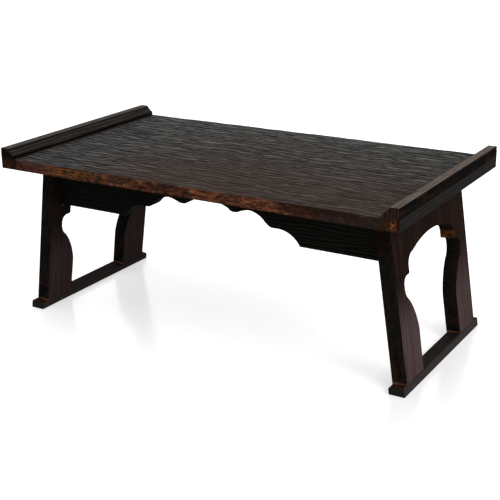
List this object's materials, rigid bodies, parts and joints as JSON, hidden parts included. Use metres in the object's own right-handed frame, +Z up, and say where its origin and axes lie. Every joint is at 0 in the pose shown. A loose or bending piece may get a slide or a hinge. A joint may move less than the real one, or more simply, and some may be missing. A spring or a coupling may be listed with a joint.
{
  "type": "chabudai folding low table",
  "caption": "Low tea table of burnt paulownia: planked top with raised end lips, scalloped aprons and two splayed leg frames that fold in under it.",
  "frame": {"origin": "on the floor under the middle of the top", "axes": "+X along the table to its right end, +Y from front to back, +Z up"},
  "size_m": [0.6, 0.327, 0.251],
  "materials": {
    "top_wood": "burnt and brushed paulownia, ridged grain, satin",
    "cleat_wood": "burnt paulownia with pale end grain, satin",
    "lip_wood": "burnt paulownia, satin",
    "frame_wood": "burnt paulownia, satin",
    "leg_wood": "burnt paulownia with red-brown upright grain, satin",
    "brass": "dulled brass"
  },
  "bodies": {
    "table": {"back_apron": "frame_wood", "front_apron": "frame_wood", "left_back_hinge_pin": "brass", "left_back_hinge_rail_leaf": "brass", "left_cleat": "cleat_wood", "left_end_rail": "frame_wood", "left_front_hinge_pin": "brass", "left_front_hinge_rail_leaf": "brass", "left_lip": "lip_wood", "right_back_hinge_pin": "brass", "right_back_hinge_rail_leaf": "brass", "right_cleat": "cleat_wood", "right_end_rail": "frame_wood", "right_front_hinge_pin": "brass", "right_front_hinge_rail_leaf": "brass", "right_lip": "lip_wood", "top_plank_1": "top_wood", "top_plank_2": "top_wood", "top_plank_3": "top_wood", "top_plank_4": "top_wood"},
    "left_leg": {"left_arch_board": "leg_wood", "left_back_hinge_leg_leaf": "brass", "left_back_upright": "leg_wood", "left_foot_rail": "leg_wood", "left_front_hinge_leg_leaf": "brass", "left_front_upright": "leg_wood"},
    "right_leg": {"right_arch_board": "leg_wood", "right_back_hinge_leg_leaf": "brass", "right_back_upright": "leg_wood", "right_foot_rail": "leg_wood", "right_front_hinge_leg_leaf": "brass", "right_front_upright": "leg_wood"}
  },
  "joints": [
    {"name": "left_leg_fold", "type": "hinge", "parent": "table", "child": "left_leg", "pos_m": [-0.25528, 0, 0.1584], "axis": [0, -1, 0], "range_deg": [0, 98]},
    {"name": "right_leg_fold", "type": "hinge", "parent": "table", "child": "right_leg", "pos_m": [0.25528, 0, 0.1584], "axis": [0, 1, 0], "range_deg": [0, 98]}
  ]
}
